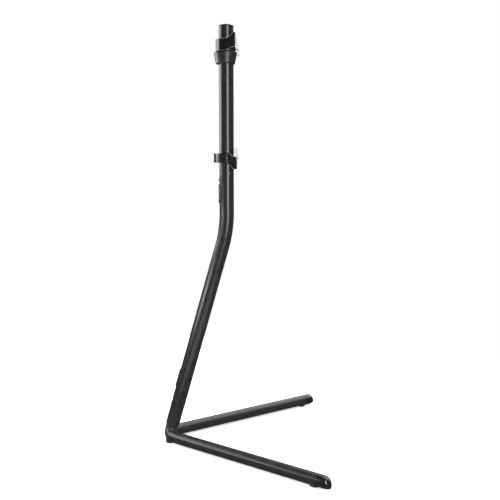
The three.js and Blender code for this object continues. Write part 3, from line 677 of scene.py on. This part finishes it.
def make_hub():
    """Socket and arms blended into one body, trimmed at its seams, then spigots, pad seats and holes."""
    knuckle_r, above_seam = MAST_R - 0.5, 12
    socket = lathe([(0, KNUCKLE_AT - knuckle_r),
                    *arc((0, KNUCKLE_AT), knuckle_r, -84, 0, 14), (knuckle_r, HUB_SEAM + above_seam),
                    (0, HUB_SEAM + above_seam)], LEANING)
    hub = join(socket, *(swept(arm_line(side), LEG_R - 0.1) for side in SIDES))
    blended(hub, BLEND_VOXEL, BLEND_ROUNDS)

    trim, root = 40, 6  # the reach of a trimming block, the depth of a spigot's root
    small = 64  # sides of a small round
    trims = [block((-WIDE, -WIDE, HUB_SEAM), (WIDE, WIDE, HUB_SEAM + trim), LEANING)]
    spigot_r, spigot_end = MAST_BORE - GAP, HUB_SEAM + HUB_SPIGOT
    inserts = [lathe([(0, HUB_SEAM - root), (spigot_r, HUB_SEAM - root), (spigot_r, spigot_end - 2),
                      (MAST_BORE - 2, spigot_end), (0, spigot_end)], LEANING)]
    holes = [rod((0, 0, along), REAR, 6, trim, HUB_HOLE_R, LEANING) for along in HUB_SCREWS_AT]
    pad_low, pad_high = corners("left_rear_foot_pad")
    pad_r = (pad_high.x - pad_low.x) / 2
    seat = pad_high.z + GAP - LEG_AXIS_Z
    below_leg = LEG_R + 4
    for side in SIDES:
        place = leg_frame(side)
        foot = place @ Matrix.Translation((0, -REAR_FOOT_AT, 0))
        trims.append(block((-trim, -ARM_END - trim, -trim), (trim, -ARM_END, trim), place))
        inserts.append(rod((0, 0, 0), FRONT, ARM_END - root, LEG_SPIGOT_END, LEG_R - LEG_WALL - GAP,
                           place, small))
        inserts.append(lathe([(0, seat), (pad_r - 1, seat), (pad_r - 0.5, seat + 0.5),
                              (pad_r - 0.5, 0), (0, 0)], foot, sides=small))
        holes.append(lathe([(0, -LEG_AXIS_Z - 1), (pad_r + 0.5, -LEG_AXIS_Z - 1), (pad_r + 0.5, seat),
                            (0, seat)], foot, sides=small))
        holes.append(rod((0, -REAR_FOOT_AT, 0), DOWN, 8, below_leg, FOOT_SCREW_R, place))
        for along in LEG_SCREWS_AT:
            holes.append(rod((0, -along, 0), DOWN, 4, below_leg, HUB_HOLE_R, place))
    cut(hub, *trims)
    join(hub, *inserts)
    cut(hub, *holes)
    piece(hub, "base_hub", "stand", "leg_coat", smooth_under=50)


# ---------------------------------------------------------------- legs and feet
def foot_pad(node, place, top, saddle):
    """A round pad with a ribbed side and a ring groove in its tread."""
    floor = -LEG_AXIS_Z
    side = [(12.5, floor + 0.5), (13.3, floor + 1.4), (14.9, floor + 3), (14.9, floor + 3.8),
            (14.4, floor + 4.1), (14.9, floor + 4.4), (15, top - 0.6), (14.4, top)]
    pad = lathe([(2.5, floor + 1.3), (4.4, floor + 1.3), (4.4, floor), (7, floor), (7.3, floor + 0.7),
                 (8.1, floor + 0.7), (8.4, floor), (12, floor), *side, (2.5, top)], place, closed=True)
    if saddle:
        cut(pad, rod((0, 0, 0), FRONT, -30, 30, LEG_R + GAP, place, ROUND))
    piece(pad, node, "stand", "rubber", smooth_under=30)


TOE_AT, TOE_LENGTH = 677, 24  # along the leg's axis
TOE_SINK = 0.75  # how far each section of the nose sinks, for each millimetre of radius it loses
LEG_HOLE_R = 5.9


def leg_end_cap(plug, place):
    """A hollow plug, then a cap whose nose runs down towards the floor; +Z is along the leg."""
    seam, inside_box = LEG_END, 0.1
    nose_r, nose_length = LEG_R - inside_box, TOE_LENGTH - inside_box
    cap = lathe([
        (0, seam - 2), (plug - 2, seam - 2), (plug - 2, seam - 10), (plug - 0.6, seam - 10),
        (plug, seam - 9), (plug, seam), (LEG_R - 0.5, seam), (LEG_R - 0.15, seam + 0.15),
        (LEG_R, seam + 0.5), (LEG_R, seam + 3),
        *arc((0, TOE_AT), nose_r, 0, 90, 24, nose_length)[:-1], (0, TOE_AT + nose_length)])
    for vertex in cap.data.vertices:
        if vertex.co.z > TOE_AT:
            vertex.co.y -= TOE_SINK * (LEG_R - math.hypot(vertex.co.x, vertex.co.y))
    cap.data.transform(place)
    return cap


def make_legs():
    inner, below_leg = LEG_R - LEG_WALL, LEG_R + 4
    for side in SIDES:
        frame_here = leg_frame(side)
        outward = frame_here @ Matrix.Rotation(math.radians(90), 4, "X")  # +Z runs along the leg
        tube = straight_tube(ARM_END + GAP, LEG_END - GAP, LEG_R, LEG_WALL, outward)
        holes = [rod((0, -along, 0), DOWN, 10, below_leg, radius, frame_here)
                 for along, radius in ((LEG_SCREWS_AT[0], LEG_HOLE_R), (LEG_SCREWS_AT[1], LEG_HOLE_R),
                                       (FRONT_FOOT_AT, FOOT_SCREW_R))]
        piece(cut(tube, *holes), f"{side}_leg_tube", "stand", "leg_coat")
        for number, along in enumerate(LEG_SCREWS_AT, start=1):
            button_screw(f"{side}_leg_joint_screw_{number}", "stand", (0, -along, 0), DOWN,
                         head_r=5.5, head=(inner, inner + 1.1), tip=5, shank_r=3, place=frame_here)

        piece(leg_end_cap(inner - GAP, outward), f"{side}_leg_end_cap", "stand", "gloss_plastic",
              smooth_under=30)

        for place_name, along in (("rear", REAR_FOOT_AT), ("front", FRONT_FOOT_AT)):
            node = f"{side}_{place_name}_foot_pad"
            top = corners(node)[1].z - LEG_AXIS_Z
            at = frame_here @ Matrix.Translation((0, -along, 0))
            foot_pad(node, at, top, place_name == "front")
            button_screw(f"{side}_{place_name}_foot_screw", "stand", (0, -along, 0), DOWN, head_r=4,
                         head=(LEG_AXIS_Z - 1.2, LEG_AXIS_Z - 0.3), tip=LEG_AXIS_Z - 11,
                         shank_r=2.1, place=frame_here)


# ---------------------------------------------------------------- stop ring
RING = {"low": 1319, "rim": 1356, "shoulder": 1357.8, "seat": 1360, "dome": 1361.5,
        "dome_top": 1369.8, "seat_top": 1376.5, "low_r": 33, "rim_r": 39.2, "shoulder_r": 35.6,
        "seat_r": 31.2, "seat_top_r": 27.3, "offset": 2.6, "slot": 3}
RING_SCREW = {"y": 31.4, "z": 1336, "tip": 14, "pocket": 9, "head_r": 4.3, "head": 5, "shank_r": 2.5}


def make_stop_ring():
    r = RING
    body = lathe([
        (0, r["low"]), (r["low_r"] - 2.5, r["low"]), (r["low_r"] - 1.5, r["low"] + 0.25),
        (r["low_r"] - 0.7, r["low"] + 0.8), (r["low_r"] - 0.15, r["low"] + 1.7),
        (r["low_r"], r["low"] + 2.8), (r["rim_r"] - 0.05, r["rim"] - 2.4),
        (r["rim_r"], r["rim"] - 1.4), (r["rim_r"] - 0.4, r["rim"] - 0.2),
        (r["rim_r"] - 1.2, r["rim"] + 0.7), (r["rim_r"] - 2.4, r["rim"] + 1.2),
        (0, r["rim"] + 1.2)], UPRIGHT @ Matrix.Translation((0, r["offset"], 0)))
    dome_end = 60
    dome_r = (r["seat_r"] - r["seat_top_r"]) / (1 - math.cos(math.radians(dome_end)))
    dome_height = (r["dome_top"] - r["dome"]) / math.sin(math.radians(dome_end))
    seat = lathe([
        (0, r["rim"]), (r["shoulder_r"], r["rim"]), (r["shoulder_r"], r["shoulder"] - 0.6),
        (r["shoulder_r"] - 0.6, r["shoulder"]), (r["seat_r"], r["seat"]),
        *arc((r["seat_r"] - dome_r, r["dome"]), dome_r, 0, dome_end, 10, dome_height),
        (r["seat_top_r"], r["seat_top"] - 0.5), (r["seat_top_r"] - 0.4, r["seat_top"]),
        (0, r["seat_top"])], UPRIGHT)
    join(body, seat)
    at, tip = (0, RING_SCREW["y"], RING_SCREW["z"]), RING_SCREW["tip"]
    cut(body,
        lathe([(0, r["low"] - 1), (MAST_R + 1.1, r["low"] - 1), (MAST_R + GAP, r["low"] + 1),
               (MAST_R + GAP, r["seat_top"] + 1), (0, r["seat_top"] + 1)], UPRIGHT),
        block((-r["slot"] / 2, 0, r["low"] - 1), (r["slot"] / 2, WIDE, r["seat_top"] + 1), UPRIGHT),
        rod(at, SIDEWAYS, -tip - 1, 20, RING_SCREW["shank_r"] + GAP, UPRIGHT),
        rod(at, SIDEWAYS, RING_SCREW["pocket"], WIDE, RING_SCREW["head_r"] + 0.5, UPRIGHT,
            SCREW_SIDES))
    piece(body, "stop_ring", "stop_ring", "matt_plastic", smooth_under=35)

    head = RING_SCREW["pocket"] + GAP
    head_r, head_end, shank_r = RING_SCREW["head_r"], head + RING_SCREW["head"], RING_SCREW["shank_r"]
    screw = lathe([(0, -tip), (shank_r - 0.4, -tip), (shank_r, -tip + 0.6), (shank_r, head),
                   (head_r, head), (head_r, head_end - 0.4), (head_r - 0.4, head_end), (0, head_end)],
                  sides=SCREW_SIDES)
    cut(screw, rod((0, 0, 0), UP, head_end - 2.6, head_end + 1, HEX_R, sides=6))
    quarter = Matrix.Rotation(math.radians(90), 4, "Y")
    screw.data.transform(UPRIGHT @ Matrix.Translation(at) @ quarter)
    piece(screw, "stop_ring_screw", "stop_ring_screw", "black_screw")


# ---------------------------------------------------------------- brackets
PLATE_THICK = 4
ARM_OUT = 35  # half the width over the arms
ARM_EASE = 1.0
HOLE_X, HOLE_Z, HOLE_R = 26, 11, 4
LIP_SEAT = 0.6  # depth of the upper plate's seat for its lip
LIP_SCREW_Z = {"upper": 1386, "lower": 1003}
LIP_SCREW_R, LIP_HEAD_R, LIP_HOLE_R, LIP_POCKET_R = 2, 3.9, 2.3, 4.4


def front_plate(front, low, high):
    """The plate without its holes; its front face is at y = -front."""
    outline = rounded([(-ARM_OUT, low), (ARM_OUT, low), (ARM_OUT, high), (-ARM_OUT, high)], 1.5)
    return soften(prism(outline, -front, -front + PLATE_THICK, "front", UPRIGHT), 0.5, steps=3)


def plate_holes(front, low, high):
    """Cutters for the plate's four bolt holes."""
    middle = (low + high) / 2
    reach = PLATE_THICK + 2
    return [rod((x, -front - 1, middle + z), REAR, 0, reach, HOLE_R, UPRIGHT)
            for x in (-HOLE_X, HOLE_X) for z in (-HOLE_Z, HOLE_Z)]


def bush(node, body, low, high):
    """A dark liner inside a collar, open at the front."""
    inner, outer = MAST_R + 0.35, COLLAR_IN - GAP
    liner = lathe([(inner, low + 0.6), (inner + 0.5, low), (outer - 0.3, low), (outer, low + 0.3),
                   (outer, high - 0.3), (outer - 0.3, high), (inner + 0.5, high),
                   (inner, high - 0.6)], UPRIGHT, closed=True)
    opening = -18  # the liner ends there, towards the front
    cut(liner, block((-WIDE, -WIDE, low - 1), (WIDE, opening, high + 1), UPRIGHT))
    piece(liner, node, body, "bush_nylon")


def guide_lip(node, body, outline, screw_z, recess=None):
    """A pale moulded lip, given by its outline from the side; recess is where its screw's head sinks."""
    half = corners(node)[1].x
    lip = soften(prism(rounded(outline, 1.6), -half, half, "side", UPRIGHT), 0.9, steps=3, angle=50)
    holes = [rod((0, 0, screw_z), REAR, -WIDE, 0, LIP_HOLE_R, UPRIGHT)]
    if recess:
        holes.append(rod((0, 0, screw_z), REAR, -WIDE, -recess, LIP_POCKET_R, UPRIGHT))
    piece(cut(lip, *holes), node, body, "pale_nylon", smooth_under=50)


def make_upper_bracket():
    front, plate_low, plate_high = 31.8, 1370.5, corners("upper_bracket")[1].z
    collar_low, collar_high = corners("upper_bracket")[0].z, 1399.5
    u_out = [(ARM_OUT, -front), *arc((0, 0), ARM_OUT, 0, 180, 48), (-ARM_OUT, -front)]
    u_in = [(COLLAR_IN, -front + PLATE_THICK), *arc((0, 0), COLLAR_IN, 0, 180, 48),
            (-COLLAR_IN, -front + PLATE_THICK)]
    strap = cut(prism(u_out, collar_low - 5, plate_high + 5, "plan", UPRIGHT),
                prism(u_in, collar_low - 6, plate_high + 6, "plan", UPRIGHT))
    side = rounded([
        (50, collar_low), (-4, collar_low, 6), (-21.5, plate_low, 6), (-front, plate_low),
        (-front, plate_high), (-25.5, plate_high, 3), (-6, collar_high, 7), (50, collar_high)], 0.3, 6)
    common(strap, prism(side, -WIDE, WIDE, "side", UPRIGHT))
    soften(strap, ARM_EASE, steps=4, angle=50)
    join(strap, front_plate(front, plate_low, plate_high))
    lip_half = corners("upper_guide_lip")[1].x + GAP
    cut(strap, *plate_holes(front, plate_low, plate_high),
        block((-lip_half, -front - 1, plate_low - 1), (lip_half, -front + LIP_SEAT, plate_high + 1),
              UPRIGHT),
        rod((0, 0, LIP_SCREW_Z["upper"]), REAR, -WIDE, 0, LIP_HOLE_R, UPRIGHT))
    piece(strap, "upper_bracket", "upper_bracket", "bracket_coat", smooth_under=35)

    bush("upper_bush", "upper_bracket", RING["seat_top"] + GAP, collar_high - 0.5)

    face = -(front - LIP_SEAT + GAP)
    guide_lip("upper_guide_lip", "upper_bracket", [
        (face, 1417.5), (-33.4, 1417.5, 0.5), (-43.7, 1374, 10), (-43.7, 1346.5, 2.6),
        (-38.4, 1346.5, 1.5), (-38.4, 1361, 3), (face, 1369.5)], LIP_SCREW_Z["upper"], recess=37)
    button_screw("upper_lip_screw", "upper_bracket", (0, 0, LIP_SCREW_Z["upper"]), FRONT, LIP_HEAD_R,
                 head=(37.5, 39.5), tip=29.5, shank_r=LIP_SCREW_R)


def make_lower_bracket():
    front, plate_low, plate_high = 35.5, corners("lower_bracket")[0].z, 1009
    collar_low, collar_high = (corner.z for corner in corners("lower_clamp_shell"))
    inside, lug_end = front - PLATE_THICK, 8
    screw_y, screw_z = 1, 1004
    outline = rounded([
        (lug_end, collar_low + 2), (lug_end, collar_high - 2), (1.5, collar_high - 2), (1.5, 1027.2),
        (-0.6, 1028), (-25.5, plate_high), (-inside - 1, plate_high), (-inside - 1, plate_low),
        (-27, plate_low), (-7.5, 983), (0, collar_low + 2)], 1.8)
    arms = [soften(prism(outline, x, x + ARM_OUT - COLLAR_IN, "side", UPRIGHT), ARM_EASE, 4, angle=50)
            for x in (-ARM_OUT, COLLAR_IN)]
    bracket = join(front_plate(front, plate_low, plate_high), *arms)
    side_at = (0, screw_y, screw_z)
    shell_out, screw_r, head_r, clamp_r = 39, 2.5, 4.6, 4
    cut(bracket, *plate_holes(front, plate_low, plate_high),
        rod((0, 0, LIP_SCREW_Z["lower"]), REAR, -WIDE, 0, LIP_HOLE_R, UPRIGHT),
        rod(side_at, SIDEWAYS, -WIDE, WIDE, screw_r + GAP, UPRIGHT))
    piece(bracket, "lower_bracket", "lower_bracket", "bracket_coat", smooth_under=35)

    block_end = corners("lower_clamp_shell")[1].y - MAST_Y
    ease = 1.2
    shell = lathe([(0, collar_low), (shell_out - ease, collar_low), (shell_out - 0.35, collar_low + 0.35),
                   (shell_out, collar_low + ease), (shell_out, collar_high - ease),
                   (shell_out - 0.35, collar_high - 0.35), (shell_out - ease, collar_high),
                   (0, collar_high)], UPRIGHT)
    boss_half, boss_root, boss_round = 13, 30, 8
    boss_plan = rounded([(-boss_half, boss_root), (boss_half, boss_root),
                         (boss_half, block_end, boss_round), (-boss_half, block_end, boss_round)], 0.5, 10)
    boss = soften(prism(boss_plan, collar_low, collar_high, "plan", UPRIGHT), ease, steps=4)
    join(shell, boss)
    below, above = collar_low - 1, collar_high + 1
    shell_front, lug_in, head_seat = -6, 27, ARM_OUT + 1.4
    cut(shell,
        rod((0, 0, 0), UP, below, above, COLLAR_IN, UPRIGHT, ROUND),
        block((-WIDE, -WIDE, below), (WIDE, shell_front, above), UPRIGHT),
        block((-ARM_OUT - GAP, -WIDE, below), (-lug_in, lug_end + GAP, above), UPRIGHT),
        block((lug_in, -WIDE, below), (ARM_OUT + GAP, lug_end + GAP, above), UPRIGHT),
        rod(side_at, SIDEWAYS, -WIDE, WIDE, screw_r + GAP, UPRIGHT),
        rod(side_at, SIDEWAYS, -WIDE, -head_seat, head_r + GAP, UPRIGHT, SCREW_SIDES),
        rod(side_at, SIDEWAYS, head_seat, WIDE, head_r + GAP, UPRIGHT, SCREW_SIDES),
        rod((0, 0, screw_z), REAR, 20, WIDE, clamp_r + GAP, UPRIGHT, SCREW_SIDES))
    piece(shell, "lower_clamp_shell", "lower_bracket", "shell_coat", smooth_under=35)

    for name, sign in SIDES.items():
        button_screw(f"lower_shell_{name}_screw", "lower_bracket", side_at, (sign, 0, 0), head_r,
                     head=(head_seat + GAP, head_seat + 2.1), tip=COLLAR_IN + GAP, shank_r=screw_r)
    grub = lathe([(0, COLLAR_IN), (clamp_r - 0.8, COLLAR_IN), (clamp_r, COLLAR_IN + 0.8),
                  (clamp_r, block_end - 1.6), (clamp_r - 0.6, block_end - 1), (0, block_end - 1)],
                 sides=SCREW_SIDES)
    cut(grub, rod((0, 0, 0), UP, block_end - 6, block_end, HEX_R, sides=6))
    turn = Vector(REAR).to_track_quat("Z", "Y").to_matrix().to_4x4()
    grub.data.transform(UPRIGHT @ Matrix.Translation((0, 0, screw_z)) @ turn)
    piece(grub, "lower_clamp_screw", "lower_clamp_screw", "black_screw")

    bush("lower_bush", "lower_collar", collar_low + 0.5, collar_high - 0.5)
    face = -(front + GAP)
    guide_lip("lower_guide_lip", "lower_bracket", [
        (face, 997), (-38.3, 997), (-38.3, 1037, 3), (-36.4, 1040, 2), (-28, 1040),
        (-26.6, 1038.5), (-26.6, 1021), (-32, 1021), (-32, plate_high + GAP),
        (face, plate_high + GAP)], LIP_SCREW_Z["lower"])
    button_screw("lower_lip_screw", "lower_bracket", (0, 0, LIP_SCREW_Z["lower"]), FRONT, LIP_HEAD_R,
                 head=(38.6, 40.6), tip=33, shank_r=LIP_SCREW_R)


# ---------------------------------------------------------------- floor and light
# metres, watts and, for the sun, watts to the square metre
WHITE = (1, 1, 1, 1)
FLOOR_R, FLOOR_GLOW = 1.6, 0.4
ROOM_LIGHT, BACKDROP = 0.11, 1.0
SKY_FROM, SKY_STRENGTH, SKY_ANGLE = (2.0, -2.4, 4), 5.0, math.radians(75)


def add_light(name, kind, place, target, strength):
    """A light that shines from its place to a target and isn't seen itself."""
    data = bpy.data.lights.new(name, kind)
    data.energy = strength
    light = bpy.data.objects.new(name, data)
    light.location = place
    light.rotation_euler = (Vector(target) - Vector(place)).to_track_quat("-Z", "Y").to_euler()
    light.visible_camera = False
    SCENE.collection.objects.link(light)
    return data


def make_floor():
    """A pale floor that the glossy pieces don't mirror."""
    bm = bmesh.new()
    bmesh.ops.create_circle(bm, cap_ends=True, segments=128, radius=FLOOR_R)
    floor = shape_of(bm)
    floor.name = "floor"
    look = Look("floor", 0.9)
    tone = look.remap(look.noise(3, 4), 0.3, 0.7, 0, 1)
    look.colour(look.blend(tone, (0.86, 0.86, 0.86), (0.88, 0.88, 0.88)))
    look.bump((look.noise(180, 3), 0.0002))
    look.shader.inputs["Emission Color"].default_value = WHITE
    look.shader.inputs["Emission Strength"].default_value = FLOOR_GLOW
    floor.data.materials.append(look.material)
    floor.visible_glossy = False


def make_world():
    """Plain white behind the object, and a dim even light for everything else."""
    world = bpy.data.worlds.new("studio")
    SCENE.world = world
    world.use_nodes = True
    tree = world.node_tree
    room = tree.nodes["Background"]
    room.inputs["Color"].default_value = WHITE
    room.inputs["Strength"].default_value = ROOM_LIGHT
    seen = tree.nodes.new("ShaderNodeBackground")
    seen.inputs["Color"].default_value = WHITE
    seen.inputs["Strength"].default_value = BACKDROP
    path = tree.nodes.new("ShaderNodeLightPath")
    mix = tree.nodes.new("ShaderNodeMixShader")
    tree.links.new(path.outputs["Is Camera Ray"], mix.inputs[0])
    tree.links.new(room.outputs[0], mix.inputs[1])
    tree.links.new(seen.outputs[0], mix.inputs[2])
    tree.links.new(mix.outputs[0], tree.nodes["World Output"].inputs["Surface"])


def make_lights():
    sky = add_light("sky", "SUN", SKY_FROM, (0, 0, 0), SKY_STRENGTH)
    sky.angle = SKY_ANGLE
    # name, place, aimed at, width and height, watts
    softboxes = [
        ("key", (-2.7, -1.15, 1.35), (0, MAST_Y * MM, 1.35), (0.95, 2.0), 115),
        ("rear_left", (0.52, 1.88, 1.45), (0, 0.05, 1.45), (1.8, 1.0), 47),
        ("front_bounce", (-1.35, 0.0, 0.03), (-1.35, 0.001, 3), (1.6, 1.6), 17),
        ("low_left", (-0.55, 1.3, 0.6), (-0.1, 0.2, 0.02), (1.0, 0.3), 11),
    ]
    for name, place, target, size, watts in softboxes:
        data = add_light(name, "AREA", place, target, watts)
        data.shape = "RECTANGLE"
        data.size, data.size_y = size


make_camera()
make_mast()
make_hub()
make_legs()
make_stop_ring()
make_upper_bracket()
make_lower_bracket()
# hidden inside the mast, so their CAD shapes stay
for inner_node in ("mast_joint_sleeve", "mast_joint_nut"):
    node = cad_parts[inner_node]
    node.data.materials.clear()
    node.data.materials.append(LOOKS["zinc"])
make_floor()
make_world()
make_lights()
SCENE.view_settings.view_transform = "Standard"
